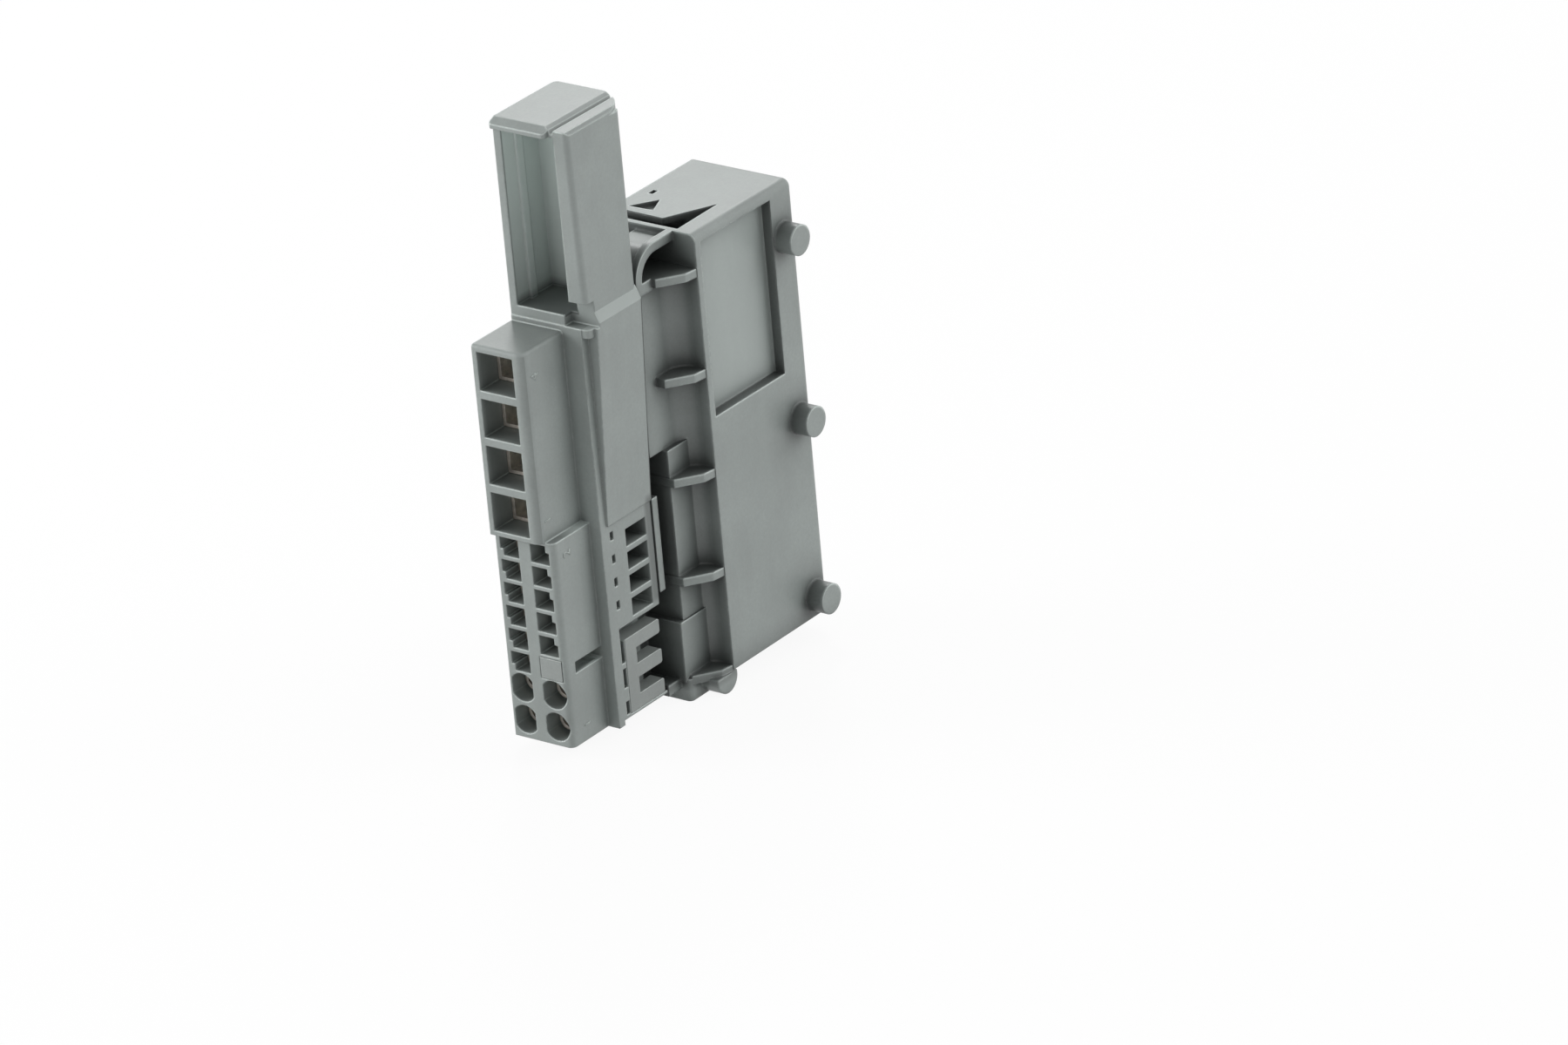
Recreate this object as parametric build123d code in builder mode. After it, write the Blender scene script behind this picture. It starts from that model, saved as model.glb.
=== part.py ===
from build123d import *
import os

os.makedirs("parts", exist_ok=True)

# Block connector that stands upright. The socket side faces -Y, the broad side with the
# round pegs faces +X, and Z is up. The origin lies under the socket side, on the middle
# plane of the rear housing. All sizes are in millimetres.

# Contact grid
pitch = 7.62                  # large contacts
small_pitch = pitch / 2       # small contacts
round_pitch = 5.3             # round contacts

# Fits
seam = 0.15                   # between the two housings
slip = 0.1                    # between a contact or insert and its cavity
end_gap = 0.2                 # between a contact and the bottom of its socket

# Front housing: socket bar, flange and body
left = -9.0                   # left plane shared by both housings
low_right = 1.95              # right plane of the lower socket block
up_right = 0.45               # right plane of the upper socket block
up_front = -1.1               # the upper block stands this far forward
step_z = 33.8                 # height where the lower block ends
bar_top = 64.8
flange_y = 8.8
flange_t = 1.4
flange_top = 65.7
body_y = flange_y + flange_t
body_right = 4.1              # right plane of the body behind the flange
front_back = 21.0             # rear plane of the front housing
body_top = 66.4
body_foot = 0.8               # the body behind the flange ends this far above the base

# Raised panel on the broad side of the front housing
panel_top_x = body_right + 2.1
panel_low_x = body_right + 0.35
panel_z0 = 33.0
panel_rise = 2.0              # height of the sloping shoulder over the panel

# Handle above the front housing, drafted so that it narrows upwards
arm_front = flange_y + 0.1
arm_back_low = front_back
arm_back_top = front_back + 0.9
arm_right_low = body_right + 1.4
arm_right_top = body_right + 0.7
arm_top_z = 96.2
arm_sill_z = 67.4
arm_wall = 1.3                # left wall of the hollow
arm_post = 3.3                # right wall of the hollow
arm_hollow_y = 8.6
arm_round = 0.9
cap_t = 1.4
cap_lip = 1.0                 # the cap stands this far over the hollow
cap_back = front_back + 3.4
cap_round = 5.4
cap_slope = 0.7               # drop of the cap towards its front lip
bead_w = 2.6                  # raised bead beside the valley on the cap
bead_drop = 0.3
valley_w = 1.7
valley_deep = 0.9
guide_w = 0.7
guide_l = 1.5

# Large square sockets
big_w = 6.7
big_h = 6.3
big_x = left + 4.2
big_z0 = step_z + 3.95
big_depth = 8.6
big_contact_in = 4.5          # the box contact sits this far behind the mouth
big_contact_len = big_depth - big_contact_in - end_gap
big_wall = 0.55

# Small square sockets and round sockets
small_w = 3.5
small_h = 3.15
small_depth = 8.0
small_left_x = left + 2.45
small_right_x = left + 8.2
small_z0 = 12.65
small_contact_in = 3.0
small_contact_len = small_depth - small_contact_in - end_gap
small_wall = 0.35
key_w = 0.6                   # corner key of a small socket
key_h = 1.1
round_r = 2.35
round_flat = 1.95
round_left_x = left + 2.3
round_right_x = left + 8.2
round_z0 = 3.1
sleeve_r = 1.8
sleeve_bore_r = 1.3

# Coding plug in the lowest place of the right column
plug_w = 4.2
plug_h = 3.6
plug_t = 2.0
stem_w = 1.2

# Slot in the right side of the lower block
slot_y = 2.4
slot_z = 11.6
slot_h = 1.85

# Windows, release slots and lock comb in the broad side of the front housing
win_back = 1.5                # web between the windows and the rear plane
win_w = 5.0
win_h = 2.9
win_z0 = 17.9
win_depth = 5.0
groove_x = 11.25              # line of the release slots
comb_y = 11.9
comb_t = 2.4
comb_z0 = 1.3
comb_z1 = 13.5
comb_web = 2.6
comb_tooth = 2.3
comb_slot_z1 = 15.7

# Rear housing: closed box
rear_right = 9.1
box_y = front_back + 10.2     # front plane of the closed box
rear_end = box_y + 24.4
rear_base = 1.3               # height of the chamfer round the base
base_run = 2.0                # width of that chamfer
rear_top = 73.1
box_round = 1.3
recess_edge = 1.3
recess_gap = 0.2              # between the recess and the roots of the pegs
recess_z0 = 43.0
recess_depth = 1.9

# Rear housing: ribbed channel between the box and the front housing
floor_x = 4.1
chan_y = box_y - 9.2          # start of the upper floor
low_y = box_y - 6.0           # start of the lower floor
low_top = 39.4
pad_rise = 0.9
foot_pad_z = 11.3
foot_x = floor_x + 1.7
lug_y = box_y - 1.6
lug_z = 0.5
lug_r = 2.45
foot_z = lug_z - lug_r        # the foot and the lug end at one level under the base
cove_r = 3.2
rib_t = 1.4
rib_pitch = 16.4
rib_z0 = 0.7
rib_y = box_y - 6.1
rib_x0 = floor_x + 1.7
rib_x1 = rear_right - 0.45
rib_run = 3.8
hood_z0 = rib_z0 + 4 * rib_pitch
hood_x = floor_x + 0.9
hood_top = rear_top - 1.0
hood_y = box_y - 9.7
hood_r = 5.2
hood_wall = 1.5
collar_t = 1.2

# Latch tongue at the top front of the box
pocket_wall = 0.9
tongue_z = rear_top - 2.6
tongue_y = box_y + 3.6
tongue_x = 0.8
tongue_end_y = box_y + 11.2
tongue_end_x = rear_right - 4.0

# Pegs on the broad side
peg_r = 2.45
peg_reach = 3.1
root = 2.5                    # pegs and lug start this deep inside the wall
peg_y = rear_end - 2.9
peg_z = (4.7, 34.5, 64.5)


with BuildPart() as front_housing:
    # Handle, drafted on its right and rear faces
    with BuildSketch(Plane.XZ.offset(-arm_front)) as arm_face:
        with BuildLine():
            Polyline(
                (left, bar_top - 0.5),
                (arm_right_low, bar_top - 0.5),
                (arm_right_top, arm_top_z),
                (left, arm_top_z),
                close=True,
            )
        make_face()
    extrude(amount=-(arm_back_top - arm_front))
    with BuildSketch(Plane.YZ.offset(left - 1)) as arm_draft:
        with BuildLine():
            Polyline(
                (arm_back_low, bar_top - 1.5),
                (arm_back_low, bar_top - 0.5),
                (arm_back_top, arm_top_z),
                (arm_back_top + 1, arm_top_z + 1),
                (arm_back_top + 1, bar_top - 1.5),
                close=True,
            )
        make_face()
    extrude(amount=arm_right_low - left + 2, mode=Mode.SUBTRACT)
    arm_edges = front_housing.faces().sort_by(Axis.X)[-1].edges().sort_by(Axis.Y)
    fillet([arm_edges[0], arm_edges[-1]], arm_round)
    # Lower socket block
    with BuildSketch(Plane.XY) as low_plan:
        with Locations((left, 0)):
            Rectangle(low_right - left, flange_y, align=(Align.MIN, Align.MIN))
        fillet(low_plan.vertices().sort_by(Axis.Y)[0:2].sort_by(Axis.X)[-1], 1.0)
    extrude(amount=step_z)
    # Upper socket block, slightly forward and slightly narrower
    with BuildSketch(Plane.XY.offset(step_z)) as up_plan:
        with Locations((left, up_front)):
            Rectangle(up_right - left, flange_y - up_front, align=(Align.MIN, Align.MIN))
        fillet(up_plan.vertices().sort_by(Axis.Y)[0:2].sort_by(Axis.X)[-1], 1.4)
    extrude(amount=bar_top - step_z)
    # Flange across the whole front body
    with BuildSketch(Plane.XY) as flange_plan:
        with Locations((left, flange_y)):
            Rectangle(body_right - left, flange_t, align=(Align.MIN, Align.MIN))
    extrude(amount=flange_top)
    # Body behind the flange
    with BuildSketch(Plane.XY.offset(body_foot)) as body_plan:
        with Locations((left, body_y)):
            Rectangle(body_right - left, front_back - body_y, align=(Align.MIN, Align.MIN))
    extrude(amount=body_top - body_foot)
    # Raised panel with a drafted face and a sloping shoulder
    with BuildSketch(Plane.XZ.offset(-body_y)) as panel_side:
        with BuildLine():
            Polyline(
                (body_right - 1, panel_z0),
                (panel_low_x, panel_z0),
                (panel_top_x, body_top),
                (panel_top_x - 1.0, body_top + panel_rise),
                (left, body_top + panel_rise),
                (left, body_top - 1),
                (body_right - 1, body_top - 1),
                close=True,
            )
        make_face()
    extrude(amount=-(front_back - body_y))
    # Cap of the handle, with a lip over the hollow
    with BuildSketch(Plane.XY.offset(arm_top_z - 0.2)) as cap_plan:
        with Locations((left - 0.1, arm_front)):
            Rectangle(arm_right_top - left + 0.1, cap_back - arm_front, align=(Align.MIN, Align.MIN))
        with Locations((left - 0.1, arm_front - cap_lip)):
            Rectangle(arm_right_top - bead_w - valley_w - left + 0.9, cap_lip, align=(Align.MIN, Align.MIN))
        fillet(cap_plan.vertices().group_by(Axis.X)[-1].sort_by(Axis.Y)[-1], cap_round)
        fillet(cap_plan.vertices().group_by(Axis.X)[-1].sort_by(Axis.Y)[0], arm_round)
        fillet(cap_plan.vertices().group_by(Axis.X)[0].sort_by(Axis.Y)[-1], arm_round)
        fillet(cap_plan.vertices().group_by(Axis.Y)[0], 0.6)
    extrude(amount=cap_t)
    # Valley and raised bead along the right side of the cap
    cap_top = arm_top_z - 0.2 + cap_t
    bead_x = arm_right_top - bead_w
    with BuildSketch(Plane.XZ.offset(-arm_front + cap_lip + 1)) as cap_profile:
        with BuildLine():
            Polyline(
                (bead_x - valley_w, cap_top),
                (bead_x - valley_w * 0.5, cap_top - valley_deep * 0.35),
                (bead_x - 0.45, cap_top - valley_deep),
                (bead_x - 0.1, cap_top - valley_deep),
                (bead_x + 0.1, cap_top - bead_drop),
                (arm_right_top - 0.5, cap_top - bead_drop),
                (arm_right_top, cap_top - bead_drop - 0.5),
                (arm_right_top + 1, cap_top - bead_drop - 0.5),
                (arm_right_top + 1, cap_top + 1),
                (bead_x - valley_w, cap_top + 1),
                close=True,
            )
        make_face()
    extrude(amount=-(cap_back - arm_front + cap_lip + 2), mode=Mode.SUBTRACT)
    # Slope of the cap towards its front lip
    with BuildSketch(Plane.YZ.offset(left - 1)) as lip_profile:
        with BuildLine():
            Polyline(
                (arm_front - cap_lip - 1, cap_top - cap_slope - 0.45),
                (arm_front + 0.6, cap_top),
                (arm_front + 0.6, cap_top + 1),
                (arm_front - cap_lip - 1, cap_top + 1),
                close=True,
            )
        make_face()
    extrude(amount=arm_right_top - left + 3, mode=Mode.SUBTRACT)
    # Finger hollow in the handle, open to the socket side
    with BuildSketch(Plane.XY.offset(arm_sill_z)) as hollow_plan:
        with Locations((left + arm_wall, arm_front - 2)):
            Rectangle(
                arm_right_low - arm_post - left - arm_wall,
                arm_hollow_y + 2,
                align=(Align.MIN, Align.MIN),
            )
    extrude(amount=arm_top_z - 0.2 - arm_sill_z, mode=Mode.SUBTRACT)
    # Guide rib inside the hollow
    with BuildSketch(Plane.XY.offset(arm_sill_z - 0.2)) as guide_plan:
        with Locations((left + arm_wall - 0.2, arm_front + 3.0)):
            Rectangle(guide_w, guide_l, align=(Align.MIN, Align.MIN))
    extrude(amount=arm_top_z - arm_sill_z + 0.2)
    # Relief at the foot of the handle, over the right end of the flange
    with BuildSketch(Plane.XY.offset(flange_top)) as relief_plan:
        with Locations((up_right + 0.6, flange_y - 1)):
            Rectangle(arm_right_low - up_right + 2, flange_t + 1.6, align=(Align.MIN, Align.MIN))
    extrude(amount=body_top + panel_rise + 1.4 - flange_top, mode=Mode.SUBTRACT)
    # Four large sockets
    with BuildSketch(Plane.XZ.offset(-up_front)) as big_holes:
        with Locations([(big_x, big_z0 + i * pitch) for i in range(4)]):
            Rectangle(big_w, big_h)
    extrude(amount=-big_depth, mode=Mode.SUBTRACT)
    # Eleven small sockets, each with its corner key
    with BuildSketch(Plane.XZ) as small_holes:
        with Locations([(small_left_x, small_z0 + i * small_pitch) for i in range(6)]):
            Rectangle(small_w, small_h)
        with Locations([(small_right_x, small_z0 + i * small_pitch) for i in range(1, 6)]):
            Rectangle(small_w, small_h)
        with Locations(
            [(small_left_x - small_w / 2, small_z0 - small_h / 2 + i * small_pitch) for i in range(6)]
        ):
            Rectangle(key_w, key_h, align=(Align.MIN, Align.MIN), mode=Mode.SUBTRACT)
        with Locations(
            [(small_right_x + small_w / 2, small_z0 + small_h / 2 + i * small_pitch) for i in range(1, 6)]
        ):
            Rectangle(key_w, key_h, align=(Align.MAX, Align.MAX), mode=Mode.SUBTRACT)
    extrude(amount=-small_depth, mode=Mode.SUBTRACT)
    # Place of the coding plug
    with BuildSketch(Plane.XZ) as plug_hole:
        with Locations((small_right_x, small_z0)):
            Rectangle(plug_w, plug_h)
    extrude(amount=-small_depth, mode=Mode.SUBTRACT)
    # Four round sockets, each with one flat side
    with BuildSketch(Plane.XZ) as round_holes:
        with Locations(
            (round_left_x, round_z0),
            (round_right_x, round_z0),
            (round_left_x, round_z0 + round_pitch),
            (round_right_x, round_z0 + round_pitch),
        ):
            Circle(round_r)
        with Locations(
            (round_left_x - round_flat, round_z0 + round_pitch / 2),
            (round_right_x - round_flat, round_z0 + round_pitch / 2),
        ):
            Rectangle(2, 4 * round_r + 2, align=(Align.MAX, Align.CENTER), mode=Mode.SUBTRACT)
    extrude(amount=-small_depth, mode=Mode.SUBTRACT)
    # Slot in the right side of the lower block, open into the place behind the coding plug
    with BuildSketch(Plane.YZ.offset(low_right)) as side_slot:
        with Locations((slot_y, slot_z)):
            Rectangle(flange_y - slot_y, slot_h, align=(Align.MIN, Align.MIN))
    extrude(amount=-(low_right - small_right_x), mode=Mode.SUBTRACT)
    # Contact windows in the broad side
    with BuildSketch(Plane.YZ.offset(body_right + 1)) as windows:
        with Locations([(front_back - win_back, win_z0 + i * small_pitch) for i in range(4)]):
            Rectangle(win_w, win_h, align=(Align.MAX, Align.CENTER))
    extrude(amount=-win_depth - 1, mode=Mode.SUBTRACT)
    # Pocket of the lock comb, open to the rear, and the slot above it
    with BuildSketch(Plane.YZ.offset(body_right)) as comb_pocket:
        with Locations((comb_y - slip, comb_z0 - slip)):
            Rectangle(front_back - comb_y + 1, comb_z1 - comb_z0 + 2 * slip, align=(Align.MIN, Align.MIN))
        with Locations((comb_y - 0.7, comb_z1)):
            Rectangle(front_back - comb_y + 2, comb_slot_z1 - comb_z1, align=(Align.MIN, Align.MIN))
        with Locations((groove_x, comb_slot_z1)):
            Rectangle(0.8, 5.8, align=(Align.CENTER, Align.MAX))
    extrude(amount=-comb_t - 2.0, mode=Mode.SUBTRACT)
    # Release slots in one line beside the flange
    with BuildSketch(Plane.YZ.offset(body_right)) as release_slots:
        with Locations([(groove_x, win_z0 + 1.7 + i * small_pitch) for i in range(4)]):
            Rectangle(0.8, 1.4)
        with Locations((groove_x, 7.4)):
            Rectangle(0.8, 3.2)
        with Locations((groove_x, 2.5)):
            Rectangle(0.8, 2.2)
    extrude(amount=-1.6, mode=Mode.SUBTRACT)
    # Slight round on the top edges of the socket bar
    top_edges = front_housing.edges().filter_by(Axis.Y).filter_by_position(Axis.Z, bar_top - 0.01, bar_top + 0.01)
    fillet(top_edges.sort_by(Axis.X)[-1], 0.5)
front_housing.part.label = "front_housing"
export_step(front_housing.part, "parts/front_housing.step")


with BuildPart() as lock_comb:
    # Comb plate that locks the round contacts: one upright web with three teeth
    with BuildSketch(Plane.YZ.offset(body_right)) as comb_plan:
        with Locations((comb_y, comb_z0)):
            Rectangle(comb_web, comb_z1 - comb_z0, align=(Align.MIN, Align.MIN))
        with Locations(
            (comb_y, comb_z0),
            (comb_y, (comb_z0 + comb_z1 - comb_tooth) / 2),
            (comb_y, comb_z1 - comb_tooth),
        ):
            Rectangle(front_back - comb_y - 0.6, comb_tooth, align=(Align.MIN, Align.MIN))
        fillet(comb_plan.vertices().group_by(Axis.X)[-1], 0.4)
    extrude(amount=-comb_t)
lock_comb.part.label = "lock_comb"
export_step(lock_comb.part, "parts/lock_comb.step")


with BuildPart() as coding_plug:
    # Blank head with a flat stem that reaches into the closed socket
    with BuildSketch(Plane.XZ) as plug_face:
        with Locations((small_right_x, small_z0)):
            Rectangle(plug_w - 2 * slip, plug_h - 2 * slip)
    extrude(amount=-plug_t)
    with BuildSketch(Plane.XZ) as stem_face:
        with Locations((small_right_x - plug_w / 2 + slip, small_z0)):
            Rectangle(stem_w, plug_h - 2 * slip, align=(Align.MIN, Align.CENTER))
    extrude(amount=-small_depth + 0.3)
coding_plug.part.label = "coding_plug"
export_step(coding_plug.part, "parts/coding_plug.step")


with BuildPart() as rear_housing:
    # Closed box with a chamfered base and a rounded top edge
    with BuildSketch(Plane.XZ.offset(-box_y)) as box_side:
        with BuildLine():
            Polyline(
                (left, 0),
                (rear_right - base_run, 0),
                (rear_right, rear_base),
                (rear_right, rear_top),
                (left, rear_top),
                close=True,
            )
        make_face()
        fillet(box_side.vertices().group_by(Axis.Y)[-1].sort_by(Axis.X)[-1], box_round)
    extrude(amount=-(rear_end - box_y))
    fillet(rear_housing.edges().filter_by(Axis.Z).group_by(Axis.Y)[-1], 0.8)
    # Core that carries the channel floor and meets the front housing
    with BuildSketch(Plane.XY.offset(rear_base)) as core_plan:
        with Locations((left, front_back + seam)):
            Rectangle(-1.5 - left, box_y - front_back - seam, align=(Align.MIN, Align.MIN))
    extrude(amount=body_top - rear_base)
    with BuildSketch(Plane.XY.offset(hood_z0 - 1)) as shelf_plan:
        with Locations((left, arm_back_top + seam)):
            Rectangle(-1.5 - left, box_y - arm_back_top - seam, align=(Align.MIN, Align.MIN))
    extrude(amount=tongue_z - hood_z0 + 0.9)
    # Channel floor, its lower part narrower
    with BuildSketch(Plane.YZ.offset(-2.0)) as floor_plan:
        with BuildLine():
            Polyline(
                (low_y, rear_base),
                (box_y, rear_base),
                (box_y, hood_z0),
                (chan_y, hood_z0),
                (chan_y, low_top),
                (low_y, low_top),
                close=True,
            )
        make_face()
    extrude(amount=floor_x + 2.0)
    # Raised pads of the lower floor
    with BuildSketch(Plane.YZ.offset(-2.0)) as pad_plan:
        with Locations((low_y, rear_base)):
            Rectangle(box_y - low_y, low_top - rear_base, align=(Align.MIN, Align.MIN))
    extrude(amount=floor_x + 2.0 + pad_rise)
    with BuildSketch(Plane.YZ.offset(-2.0)) as foot_pad_plan:
        with Locations((low_y - 1.0, rear_base)):
            Rectangle(box_y - low_y + 1.0, foot_pad_z - rear_base, align=(Align.MIN, Align.MIN))
    extrude(amount=floor_x + 2.0 + pad_rise + 0.3)
    # Concave run between the channel floor and the box
    with BuildSketch(Plane.XY.offset(rear_base)) as cove_plan:
        with Locations((floor_x - 0.5, box_y + 0.5)):
            Rectangle(cove_r + 0.5, cove_r + 0.5, align=(Align.MIN, Align.MAX))
        with Locations((floor_x + cove_r, box_y - cove_r)):
            Circle(cove_r, mode=Mode.SUBTRACT)
    extrude(amount=hood_z0 - rear_base)
    # Five gusset ribs
    for i in range(5):
        with BuildSketch(Plane.XY.offset(rib_z0 + i * rib_pitch)) as rib_plan:
            with BuildLine():
                Polyline(
                    (0, rib_y),
                    (rib_x0, rib_y),
                    (rib_x1, rib_y + rib_run),
                    (rear_right - 0.05, box_y + 0.5),
                    (0, box_y + 0.5),
                    close=True,
                )
            make_face()
        extrude(amount=rib_t)
    # Base plate of the channel and the foot under it
    with BuildSketch(Plane.XY) as plate_plan:
        with Locations((left, front_back + seam)):
            Rectangle(floor_x - left, box_y - front_back - seam + 0.5, align=(Align.MIN, Align.MIN))
    extrude(amount=rib_z0 + 1.0)
    with BuildSketch(Plane.XY.offset(foot_z)) as foot_plan:
        with Locations((left, low_y - 0.8)):
            Rectangle(foot_x - left, box_y - low_y + 1.3, align=(Align.MIN, Align.MIN))
        fillet(foot_plan.vertices().group_by(Axis.X)[-1], 0.8)
    extrude(amount=rib_z0 - foot_z + 1.0)
    # Slim upright in front of the lower floor
    with BuildSketch(Plane.YZ.offset(-2.0)) as upright_plan:
        with Locations((front_back + 0.6, win_z0 - 0.6)):
            Rectangle(1.3, 15.5, align=(Align.MIN, Align.MIN))
    extrude(amount=floor_x + 1.9)
    # Hood over the upper end of the channel, with a raised collar at its mouth
    with BuildSketch(Plane.YZ.offset(-2.0)) as hood_plan:
        with Locations((hood_y + 0.9, hood_z0 - 0.5)):
            Rectangle(box_y - hood_y - 0.9, hood_top - hood_z0 + 0.5, align=(Align.MIN, Align.MIN))
        fillet(hood_plan.vertices().group_by(Axis.Y)[-1].sort_by(Axis.X)[0], hood_r - 1)
    extrude(amount=hood_x + 2.0 - 0.3)
    with BuildSketch(Plane.YZ.offset(hood_x - collar_t)) as collar_plan:
        with Locations((hood_y, hood_z0 - 0.5)):
            Rectangle(box_y - hood_y, rear_top - hood_z0 + 0.5, align=(Align.MIN, Align.MIN))
        fillet(collar_plan.vertices().group_by(Axis.Y)[-1].sort_by(Axis.X)[0], hood_r)
    extrude(amount=collar_t)
    with BuildSketch(Plane.YZ.offset(0)) as hood_hollow:
        with Locations((hood_y + hood_wall, hood_z0 + rib_t)):
            Rectangle(
                box_y - hood_y - hood_wall,
                rear_top - hood_z0 - rib_t - hood_wall,
                align=(Align.MIN, Align.MIN),
            )
        fillet(hood_hollow.vertices().group_by(Axis.Y)[-1].sort_by(Axis.X)[0], hood_r - hood_wall)
    extrude(amount=rear_right, mode=Mode.SUBTRACT)
    # Pocket under the latch tongue at the top front of the box
    with BuildSketch(Plane.XY.offset(tongue_z)) as tongue_gap:
        with BuildLine():
            Polyline(
                (left - 1, box_y + pocket_wall),
                (tongue_end_x + 0.2, box_y + pocket_wall),
                (tongue_end_x, tongue_end_y),
                (tongue_x, tongue_y - 0.3),
                (left - 1, tongue_y),
                close=True,
            )
        make_face()
    extrude(amount=rear_top - tongue_z, mode=Mode.SUBTRACT)
    # Relief under the tip of the tongue
    with BuildSketch(Plane.XY.offset(tongue_z)) as tongue_relief:
        with BuildLine():
            Polyline(
                (left - 1, tongue_y - 1),
                (tongue_x, tongue_y - 1),
                (tongue_x + 1.7, tongue_y + 3.0),
                (left - 1, tongue_y + 3.0),
                close=True,
            )
        make_face()
    extrude(amount=rear_top - tongue_z - 1.1, mode=Mode.SUBTRACT)
    # Three-cornered dip and a short slit on the tongue
    with BuildSketch(Plane.XY.offset(rear_top)) as tongue_dip:
        with BuildLine():
            Polyline((-6.8, tongue_y + 1.3), (-2.4, tongue_y + 1.5), (-3.9, tongue_y + 5.2), close=True)
        make_face()
        with Locations((-6.7, tongue_y + 7.2)):
            Rectangle(0.8, 1.3)
    extrude(amount=-0.8, mode=Mode.SUBTRACT)
    # Shallow recess in the broad side
    with BuildSketch(Plane.YZ.offset(rear_right)) as recess_plan:
        with Locations((box_y + recess_edge, recess_z0)):
            Rectangle(
                peg_y - peg_r - recess_gap - box_y - recess_edge,
                rear_top - box_round - 0.3 - recess_z0,
                align=(Align.MIN, Align.MIN),
            )
    extrude(amount=-recess_depth, mode=Mode.SUBTRACT)
    # Pegs on the broad side
    with BuildSketch(Plane.YZ.offset(rear_right - root)) as peg_faces:
        with Locations([(peg_y, z) for z in peg_z]):
            Circle(peg_r)
    extrude(amount=peg_reach + root)
    # Short round lug under the lowest rib
    with BuildSketch(Plane.YZ.offset(foot_x - root)) as lug_face:
        with Locations((lug_y, lug_z)):
            Circle(lug_r)
        with Locations((lug_y, rib_z0 + 0.3)):
            Rectangle(3 * lug_r, 3 * lug_r, align=(Align.CENTER, Align.MIN), mode=Mode.SUBTRACT)
    extrude(amount=rear_right - 0.1 - foot_x + root)
rear_housing.part.label = "rear_housing"
export_step(rear_housing.part, "parts/rear_housing.step")


# Box contacts of the large sockets, each with a sloping spring tongue inside
for i in range(4):
    with BuildPart() as power_contact:
        with BuildSketch(Plane.XZ.offset(-up_front - big_contact_in)) as box_wall:
            with Locations((big_x, big_z0 + i * pitch)):
                Rectangle(big_w - 2 * slip, big_h - 2 * slip)
                Rectangle(big_w - 2 * slip - 2 * big_wall, big_h - 2 * slip - 2 * big_wall, mode=Mode.SUBTRACT)
        extrude(amount=-big_contact_len)
        with BuildSketch(Plane.YZ.offset(big_x - 1.6)) as spring:
            with BuildLine():
                Polyline(
                    (up_front + big_contact_in + big_contact_len, big_z0 + i * pitch + big_h / 2 - slip - 0.3),
                    (up_front + big_contact_in + 0.5, big_z0 + i * pitch + 0.5),
                    (up_front + big_contact_in + 0.5, big_z0 + i * pitch + 1.0),
                    (up_front + big_contact_in + 2.6, big_z0 + i * pitch + big_h / 2 - slip - 0.3),
                    close=True,
                )
            make_face()
        extrude(amount=3.2)
    power_contact.part.label = f"power_contact_{i + 1}"
    export_step(power_contact.part, f"parts/power_contact_{i + 1}.step")

# Box contacts of the small sockets
small_spots = [(small_left_x, i) for i in range(6)] + [(small_right_x, i) for i in range(1, 6)]
small_box_w = small_w - 2 * key_w - 2 * slip
small_box_h = small_h - 2 * slip
for n, (cx, i) in enumerate(small_spots):
    with BuildPart() as signal_contact:
        with BuildSketch(Plane.XZ.offset(-small_contact_in)) as small_box:
            with Locations((cx, small_z0 + i * small_pitch)):
                Rectangle(small_box_w, small_box_h)
                Rectangle(small_box_w - 2 * small_wall, small_box_h - 2 * small_wall, mode=Mode.SUBTRACT)
        extrude(amount=-small_contact_len)
    signal_contact.part.label = f"signal_contact_{n + 1}"
    export_step(signal_contact.part, f"parts/signal_contact_{n + 1}.step")

# Sleeves of the round sockets
round_spots = [
    (round_left_x, round_z0),
    (round_left_x, round_z0 + round_pitch),
    (round_right_x, round_z0),
    (round_right_x, round_z0 + round_pitch),
]
for n, (cx, cz) in enumerate(round_spots):
    with BuildPart() as round_contact:
        with BuildSketch(Plane.XZ.offset(-small_contact_in)) as sleeve:
            with Locations((cx, cz)):
                Circle(sleeve_r)
                Circle(sleeve_bore_r, mode=Mode.SUBTRACT)
        extrude(amount=-small_contact_len)
    round_contact.part.label = f"round_contact_{n + 1}"
    export_step(round_contact.part, f"parts/round_contact_{n + 1}.step")
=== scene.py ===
import bpy
from mathutils import Matrix, Vector


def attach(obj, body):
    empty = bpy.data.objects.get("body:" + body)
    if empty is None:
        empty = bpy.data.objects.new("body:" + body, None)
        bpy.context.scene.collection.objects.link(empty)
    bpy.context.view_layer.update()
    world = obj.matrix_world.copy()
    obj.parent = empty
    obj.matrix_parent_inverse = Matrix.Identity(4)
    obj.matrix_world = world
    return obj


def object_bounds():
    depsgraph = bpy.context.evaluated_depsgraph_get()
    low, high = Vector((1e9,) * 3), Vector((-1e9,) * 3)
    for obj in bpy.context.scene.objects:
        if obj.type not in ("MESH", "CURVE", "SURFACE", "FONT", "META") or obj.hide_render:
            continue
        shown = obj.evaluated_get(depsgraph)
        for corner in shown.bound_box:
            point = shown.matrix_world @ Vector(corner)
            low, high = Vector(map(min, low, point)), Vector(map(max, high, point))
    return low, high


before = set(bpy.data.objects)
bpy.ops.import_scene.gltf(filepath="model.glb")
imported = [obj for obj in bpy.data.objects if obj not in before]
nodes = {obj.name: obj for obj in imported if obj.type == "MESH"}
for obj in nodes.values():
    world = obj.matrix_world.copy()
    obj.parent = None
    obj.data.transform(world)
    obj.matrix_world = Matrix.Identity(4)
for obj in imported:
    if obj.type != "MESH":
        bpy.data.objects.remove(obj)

# All places and sizes are in metres. X points to the broad side, Y to the rear, Z up.
cad_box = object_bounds()
scene = bpy.context.scene

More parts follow.
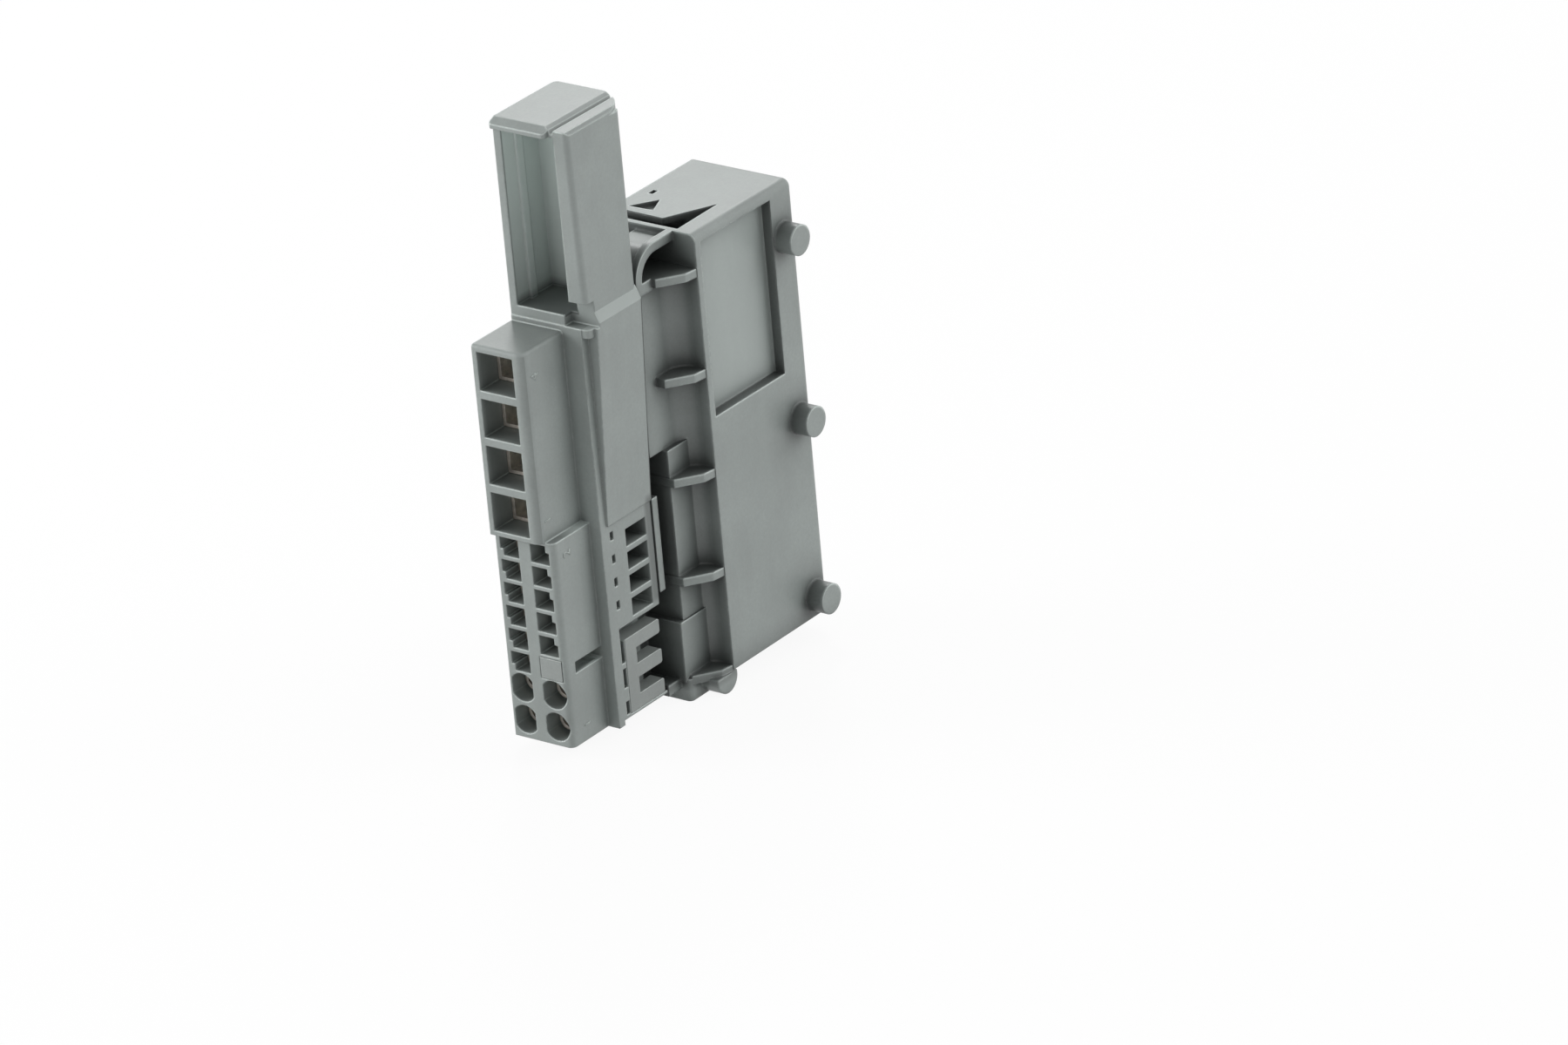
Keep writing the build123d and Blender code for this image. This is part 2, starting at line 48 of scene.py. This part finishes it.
# Camera, fitted to the photograph
CAMERA_LENS = 221.11
CAMERA_PLACE = (0.8367, -1.0001, 0.6272)
CAMERA_RIGHT = (0.80416, 0.58888, -0.08089)
CAMERA_UP = (-0.18632, 0.37895, 0.90647)
CAMERA_BACK = (0.56446, -0.71387, 0.41446)

# Base colours
FRONT_COLOR = (0.245, 0.272, 0.262)
REAR_COLOR = (0.240, 0.267, 0.257)
INSERT_COLOR = (0.250, 0.272, 0.263)
METAL_COLOR = (0.74, 0.69, 0.62)

# Zones of the housings that have their own look, a pair is where a layer begins and ends
JOINT_Y = 0.02108
JOINT_SHADE_SPAN = (0.00016, 0.00034)  # distance from the joint
JOINT_TOP_Z = (0.0660, 0.0680)
FOOT_TOP_Z = (-0.0003, 0.0010)
RECESS_FLOOR = {"x": (0.00700, 0.00740), "y": (0.03245, 0.0501), "z": (0.0430, 0.0716)}
SOCKETS_LEFT = -0.0089
SOCKETS_RIGHT = 0.0018
SOCKETS_Y = (None, 0.0087)
SOCKETS_Z = (0.0001, 0.0642)
STEP_Z = 0.0338  # the upper socket block begins here
STEP_OUT = 0.0011  # it stands this far forward
STEP_NARROWER = 0.0015  # and is this much narrower
MOUTH_DEPTH = (0.0001, 0.0010)
FADE_DEPTH = (0.0020, 0.0060)
PALER_DEEP_Y = (0.0028, 0.0065)
HANDLE_HOLLOW = {"x": (-0.0079, 0.0024), "y": (0.0092, 0.0178), "z": (None, 0.0961)}
HOLLOW_WALL_Z = 0.0677
HOLLOW_PALE_Z = (0.0680, 0.0940)
HOLLOW_SILL_Z = 0.0670
HOLLOW_SHADE_Z = (0.0673, 0.0690)
SHOULDER = {"x": (0.0042, None), "z": (0.0600, 0.0700)}
WINDOWS = {"y": (0.0143, 0.0197), "z": (0.0175, 0.0335)}
WINDOW_SHADE_X = (0.0025, 0.0040)
WEB_Y = (0.0192, 0.0200)
WEB_TOP_Z = (0.0335, 0.0345)
WEB_FOOT_Z = (0.0160, 0.0170)

# Lamps: name, place from the middle of the object, power in watts, width
MIDDLE = Vector((0.0, 0.027, 0.045))
LAMPS = (
    ("key", (-0.46, 0.60, 0.62), 2.0, 0.16),
    ("right_high", (0.55, 0.42, 0.50), 0.9, 0.35),
    ("right_low", (0.80, 0.30, 0.08), 1.15, 0.5),
    ("left_front", (-0.75, -0.45, 0.30), 5.0, 0.5),
    ("front_low", (-0.30, -0.80, 0.02), 2.1, 0.5),
)
ROOM_BRIGHT_SIDE = (0.27, 0.93, 0.25)  # direction of the brighter wall behind the object
ROOM_STRENGTH = (0.58, 2.10)

# Floor
FLOOR_HALF = 4.0
FLOOR_WHITE = 0.92  # share of plain white that a viewer sees, the rest carries the shadow

# Moulded digits: name, text, place on the broad side, height
DIGITS = (
    ("digit_a", "4", (0.00045, 0.00149, 0.06037), 0.0024),
    ("digit_b", "1", (0.00045, 0.00118, 0.03709), 0.0020),
    ("digit_c", "2", (0.00195, 0.00304, 0.03118), 0.0024),
    ("digit_d", "1", (0.00195, 0.00397, 0.00260), 0.0020),
)
DIGIT_RELIEF = 0.00005
DIGIT_ROUNDING = 0.00002


def is_socket(value):
    return hasattr(value, "is_linked")


def tint(color, factor):
    return tuple(min(1.0, c * factor) for c in color)


class Net:
    """A node tree with short calls for the nodes that are used here."""

    def __init__(self, tree, out_kind):
        self.tree = tree
        self.tree.nodes.clear()
        self.out = self.add(out_kind)

    def add(self, kind, **props):
        node = self.tree.nodes.new(kind)
        for key, value in props.items():
            setattr(node, key, value)
        return node

    def link(self, a, b):
        self.tree.links.new(a, b)

    def feed(self, value, socket):
        if is_socket(value):
            self.link(value, socket)
        else:
            socket.default_value = value

    def mix_color(self, share, a, b):
        node = self.add("ShaderNodeMix", data_type="RGBA")
        self.feed(share, node.inputs[0])
        for value, socket in ((a, node.inputs[6]), (b, node.inputs[7])):
            self.feed(value if is_socket(value) else (*value, 1.0), socket)
        return node.outputs[2]

    def mix_shader(self, share, a, b):
        node = self.add("ShaderNodeMixShader")
        self.link(share, node.inputs[0])
        self.link(a, node.inputs[1])
        self.link(b, node.inputs[2])
        return node.outputs[0]

    def math(self, op, *values):
        node = self.add("ShaderNodeMath", operation=op)
        for value, socket in zip(values, node.inputs):
            self.feed(value, socket)
        return node.outputs[0]

    def times(self, *values):
        result = values[0]
        for value in values[1:]:
            result = self.math("MULTIPLY", result, value)
        return result

    def dot(self, a, b):
        node = self.add("ShaderNodeVectorMath", operation="DOT_PRODUCT")
        self.feed(a, node.inputs[0])
        self.feed(b, node.inputs[1])
        return node.outputs["Value"]

    def split(self, vector):
        node = self.add("ShaderNodeSeparateXYZ")
        self.link(vector, node.inputs[0])
        return node.outputs

    def span(self, value, low, high, out_low, out_high):
        node = self.add("ShaderNodeMapRange")
        self.link(value, node.inputs[0])
        for i, limit in enumerate((low, high, out_low, out_high)):
            node.inputs[i + 1].default_value = limit
        return node.outputs[0]

    def noise(self, scale, detail, rough, vector):
        node = self.add("ShaderNodeTexNoise")
        node.inputs["Scale"].default_value = scale
        node.inputs["Detail"].default_value = detail
        node.inputs["Roughness"].default_value = rough
        self.link(vector, node.inputs["Vector"])
        return node.outputs["Fac"]

    def moved(self, vector, place=(0.0, 0.0, 0.0), scale=(1.0, 1.0, 1.0)):
        node = self.add("ShaderNodeMapping")
        node.inputs["Location"].default_value = place
        node.inputs["Scale"].default_value = scale
        self.link(vector, node.inputs["Vector"])
        return node.outputs["Vector"]

    def rounded_normal(self, radius):
        node = self.add("ShaderNodeBevel", samples=4)
        node.inputs["Radius"].default_value = radius
        return node.outputs["Normal"]

    def openness(self, distance, samples):
        node = self.add("ShaderNodeAmbientOcclusion", samples=samples)
        node.inputs["Distance"].default_value = distance
        return node.outputs["AO"]

    def bump(self, height, normal, strength, distance):
        node = self.add("ShaderNodeBump")
        node.inputs["Strength"].default_value = strength
        node.inputs["Distance"].default_value = distance
        self.link(height, node.inputs["Height"])
        self.link(normal, node.inputs["Normal"])
        return node.outputs["Normal"]

    def inside(self, axes, x=(None, None), y=(None, None), z=(None, None)):
        """1 between the limits, 0 outside them."""
        tests = []
        for value, (low, high) in zip(axes, (x, y, z)):
            if low is not None:
                tests.append(self.math("GREATER_THAN", value, low))
            if high is not None:
                tests.append(self.math("LESS_THAN", value, high))
        return self.times(*tests)

    def seen_directly(self):
        """1 for rays from the camera, a reflection or a clear body, 0 for light on the object."""
        path = self.add("ShaderNodeLightPath").outputs
        seen = self.math("MAXIMUM", path["Is Camera Ray"], path["Is Glossy Ray"])
        return self.math("MAXIMUM", seen, path["Is Transmission Ray"])


def new_material(name):
    mat = bpy.data.materials.new(name)
    mat.use_nodes = True
    return mat, Net(mat.node_tree, "ShaderNodeOutputMaterial")


class Coat:
    """Base colour of a plastic, built up in layers.

    A layer covers a share of what lies under it with the colour times a factor.
    """

    def __init__(self, net, color, start):
        self.net = net
        self.color = color
        self.result = start

    def layer(self, share, factor):
        self.result = self.net.mix_color(share, self.result, tint(self.color, factor))


# Painted shade in the channel, and a paler recess floor
def channel_shade_and_recess(net, coat, axes, amount):
    # Painted shade: deep corners of the channel are darker, the foot under it is not
    deep = net.span(net.openness(0.0072, 6), 0.48, 0.98, amount, 0.0)
    coat.layer(net.times(deep, net.span(axes[2], *FOOT_TOP_Z, 0.0, 1.0)), 0.22)
    # The floor of the shallow recess is a little paler
    coat.layer(net.times(net.inside(axes, **RECESS_FLOOR), 0.50), 1.5)


# Painted light and shade on the front housing, in zones
def paint_front_shading(net, coat, axes, true_normal):
    y, z = axes[1], axes[2]
    # Painted shade: inner walls of the sockets darken behind the mouth, more so in the upper block
    step = net.math("GREATER_THAN", z, STEP_Z)
    depth = net.math("ADD", y, net.times(step, STEP_OUT))
    mouth = net.span(depth, *MOUTH_DEPTH, 0.0, 1.0)
    share = net.math("ADD", net.times(step, 0.42), 0.10)
    fade = net.span(depth, *FADE_DEPTH, 1.0, 0.0)
    right = net.math("SUBTRACT", SOCKETS_RIGHT, net.times(step, STEP_NARROWER))
    inner = net.inside(axes, x=(SOCKETS_LEFT, right), y=SOCKETS_Y, z=SOCKETS_Z)
    coat.layer(net.times(mouth, share, fade, inner), 0.35)
    # Painted light: far inside they are paler again
    coat.layer(net.times(net.span(y, *PALER_DEEP_Y, 0.0, 0.9), inner), 2.2)
    # Painted light and shade: the hollow of the handle is paler towards its top and darker on its
    # sill
    hollow = net.inside(axes, **HANDLE_HOLLOW)
    above = net.math("GREATER_THAN", z, HOLLOW_WALL_Z)
    coat.layer(net.times(hollow, net.span(z, *HOLLOW_PALE_Z, 0.35, 0.95), above), 2.3)
    above = net.math("GREATER_THAN", z, HOLLOW_SILL_Z)
    coat.layer(net.times(hollow, net.span(z, *HOLLOW_SHADE_Z, 0.8, 0.0), above), 0.25)
    # Painted highlight: the sloping shoulder over the panel is paler
    upward = net.math("GREATER_THAN", net.split(true_normal)[2], 0.3)
    coat.layer(net.times(upward, net.inside(axes, **SHOULDER), 0.5), 1.6)
    # Painted shade inside the windows and on the web behind them. Known fault: both masks have no end
    # towards the left, so they also darken a patch of the outer left face.
    window = net.inside(axes, **WINDOWS)
    coat.layer(net.times(window, net.span(axes[0], *WINDOW_SHADE_X, 0.8, 0.0)), 0.30)
    web = net.times(net.span(y, *WEB_Y, 0.0, 0.8), net.span(z, *WEB_TOP_Z, 1.0, 0.0))
    coat.layer(net.times(web, net.span(z, *WEB_FOOT_Z, 0.0, 1.0)), 0.45)


def plastic(name, color, seed, edge=0.0004, channel_shade=0.0, sockets=False):
    mat, net = new_material(name)
    place = net.add("ShaderNodeTexCoord").outputs["Object"]
    axes = net.split(place)
    place = net.moved(place, (seed * 0.37, seed * 0.11, seed * 0.73))
    cloud = net.noise(70.0, 4.0, 0.6, place)
    speck = net.noise(1900.0, 2.0, 0.7, place)
    grain = net.noise(5200.0, 2.0, 0.6, place)
    # Flow streaks of the moulding, drawn out along the height
    streak = net.noise(420.0, 3.0, 0.5, net.moved(place, scale=(1.0, 1.0, 0.12)))
    # Edges, from the difference between the rounded and the true normal
    normal = net.rounded_normal(edge)
    true_normal = net.add("ShaderNodeNewGeometry").outputs["True Normal"]
    rim = net.span(net.dot(normal, true_normal), 0.995, 0.80, 0.0, 1.0)
    # Edge rub, partly wear and partly a painted highlight along all edges
    rub_and_highlight = net.times(rim, net.span(net.noise(600.0, 3.0, 0.7, place), 0.35, 0.75, 0.15, 1.0))
    # Painted shade that darkens corners and creases
    corner_shade = net.span(net.openness(0.0016, 4), 0.25, 0.9, 1.0, 0.0)

    clouds = net.mix_color(net.span(cloud, 0.3, 0.7, 0.0, 1.0), tint(color, 0.88), tint(color, 1.10))
    coat = Coat(net, color, clouds)
    coat.layer(net.span(speck, 0.25, 0.75, 0.0, 0.35), 0.72)
    coat.layer(net.span(streak, 0.35, 0.7, 0.0, 0.12), 1.25)
    coat.layer(net.times(rub_and_highlight, 0.80), 2.0)
    coat.layer(net.times(corner_shade, 0.65), 0.40)
    # Painted highlight: edges that face up are made paler than the rest
    coat.layer(net.times(rim, net.span(net.split(normal)[2], 0.03, 0.40, 0.0, 1.0)), 3.3)
    # Painted shade along the joint between the two housings
    off = net.math("ABSOLUTE", net.math("SUBTRACT", axes[1], JOINT_Y))
    joint = net.span(off, *JOINT_SHADE_SPAN, 0.85, 0.0)
    coat.layer(net.times(joint, net.span(axes[2], *JOINT_TOP_Z, 1.0, 0.0)), 0.12)
    if channel_shade:
        channel_shade_and_recess(net, coat, axes, channel_shade)
    if sockets:
        paint_front_shading(net, coat, axes, true_normal)

    shader = net.add("ShaderNodeBsdfPrincipled")
    shader.inputs["IOR"].default_value = 1.5
    shader.inputs["Specular IOR Level"].default_value = 0.5
    net.link(coat.result, shader.inputs["Base Color"])
    satin = net.math(
        "ADD", net.span(cloud, 0.3, 0.7, 0.31, 0.42), net.span(grain, 0.3, 0.7, -0.03, 0.04)
    )
    net.link(net.math("SUBTRACT", satin, net.times(rim, 0.10)), shader.inputs["Roughness"])
    # Fine erosion texture of the mould, plus a very slight waviness
    normal = net.bump(grain, normal, 0.22, 0.00006)
    normal = net.bump(net.noise(160.0, 2.0, 0.5, place), normal, 0.25, 0.0002)
    net.link(normal, shader.inputs["Normal"])
    net.link(shader.outputs["BSDF"], net.out.inputs["Surface"])
    return mat


def metal(name, color, seed):
    mat, net = new_material(name)
    place = net.add("ShaderNodeTexCoord").outputs["Object"]
    # Rolling marks run along the contact
    along = net.moved(place, (seed, seed * 0.4, seed * 0.2), (1.0, 0.15, 1.0))
    rolled = net.noise(2600.0, 3.0, 0.6, along)
    stain = net.noise(500.0, 4.0, 0.65, place)
    col = net.mix_color(net.span(stain, 0.35, 0.7, 0.0, 1.0), color, tint(color, 0.55))
    col = net.mix_color(net.span(rolled, 0.3, 0.7, 0.0, 0.25), col, tint(color, 0.7))
    shader = net.add("ShaderNodeBsdfPrincipled")
    shader.inputs["Metallic"].default_value = 1.0
    net.link(col, shader.inputs["Base Color"])
    net.link(net.span(stain, 0.3, 0.7, 0.48, 0.66), shader.inputs["Roughness"])
    normal = net.bump(rolled, net.rounded_normal(0.00012), 0.3, 0.00004)
    net.link(normal, shader.inputs["Normal"])
    net.link(shader.outputs["BSDF"], net.out.inputs["Surface"])
    return mat


def dress(obj, mat):
    slots = obj.data.materials
    if not slots:
        slots.append(mat)
    for i in range(len(slots)):
        slots[i] = mat


def add_camera():
    data = bpy.data.cameras.new("view")
    data.lens = CAMERA_LENS
    data.sensor_width = 36.0
    data.sensor_fit = "HORIZONTAL"
    data.clip_start = 0.05
    data.clip_end = 20.0
    cam = bpy.data.objects.new("view", data)
    turn = Matrix((CAMERA_RIGHT, CAMERA_UP, CAMERA_BACK)).transposed()
    cam.matrix_world = Matrix.Translation(CAMERA_PLACE) @ turn.to_4x4()
    scene.collection.objects.link(cam)
    scene.camera = cam


def add_digit(name, text, place, height, mat):
    curve = bpy.data.curves.new(name, "FONT")
    curve.body = text
    curve.size = height
    curve.extrude = DIGIT_RELIEF
    curve.bevel_depth = DIGIT_ROUNDING
    curve.align_x = "CENTER"
    curve.align_y = "CENTER"
    obj = bpy.data.objects.new(name, curve)
    scene.collection.objects.link(obj)
    # It faces +X and reads upwards
    face = Matrix(((0, 0, 1), (0, -1, 0), (1, 0, 0)))
    obj.matrix_world = Matrix.Translation(place) @ face.to_4x4()
    curve.materials.append(mat)
    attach(obj, "root")


def add_floor():
    low = cad_box[0][2]
    corners = [(x * FLOOR_HALF, y * FLOOR_HALF, low) for x, y in ((-1, -1), (1, -1), (1, 1), (-1, 1))]
    mesh = bpy.data.meshes.new("floor")
    mesh.from_pydata(corners, [], [(0, 1, 2, 3)])
    floor = bpy.data.objects.new("floor", mesh)
    scene.collection.objects.link(floor)
    mat, net = new_material("floor")
    cover = net.add("ShaderNodeBsdfDiffuse")
    cover.inputs["Color"].default_value = (0.80, 0.80, 0.80, 1.0)
    white = net.add("ShaderNodeEmission")
    white.inputs["Strength"].default_value = 1.0
    share = net.times(net.seen_directly(), FLOOR_WHITE)
    surface = net.mix_shader(share, cover.outputs[0], white.outputs[0])
    net.link(surface, net.out.inputs["Surface"])
    mesh.materials.append(mat)


def add_room():
    # Soft pale room with a brighter wall behind the object, seen directly as plain white
    world = bpy.data.worlds.new("studio")
    scene.world = world
    world.use_nodes = True
    net = Net(world.node_tree, "ShaderNodeOutputWorld")
    room = net.add("ShaderNodeBackground")
    white = net.add("ShaderNodeBackground")
    white.inputs["Color"].default_value = (1, 1, 1, 1)
    side = net.dot(net.add("ShaderNodeTexCoord").outputs["Generated"], ROOM_BRIGHT_SIDE)
    net.link(net.span(side, 0.30, 0.95, *ROOM_STRENGTH), room.inputs["Strength"])
    surface = net.mix_shader(net.seen_directly(), room.outputs[0], white.outputs[0])
    net.link(surface, net.out.inputs["Surface"])


def add_lamp(name, place, power, width):
    data = bpy.data.lights.new(name, "AREA")
    data.shape = "RECTANGLE"
    data.size = width
    data.size_y = width
    data.energy = power
    obj = bpy.data.objects.new(name, data)
    scene.collection.objects.link(obj)
    obj.location = MIDDLE + Vector(place)
    obj.rotation_euler = (MIDDLE - obj.location).to_track_quat("-Z", "Y").to_euler()


add_camera()

front_mat = plastic("front_plastic", FRONT_COLOR, 1.0, sockets=True)
rear_mat = plastic("rear_plastic", REAR_COLOR, 5.0, edge=0.0006, channel_shade=1.0)
insert_mat = plastic("insert_plastic", INSERT_COLOR, 9.0, edge=0.0002)
metal_mat = metal("contact_metal", METAL_COLOR, 2.0)
looks = {
    "front_housing": front_mat,
    "rear_housing": rear_mat,
    "lock_comb": insert_mat,
    "coding_plug": insert_mat,
}
for node_name, node in nodes.items():
    dress(node, looks.get(node_name, metal_mat))

for digit in DIGITS:
    add_digit(*digit, front_mat)

add_floor()
add_room()
for lamp in LAMPS:
    add_lamp(*lamp)

scene.view_settings.view_transform = "Standard"
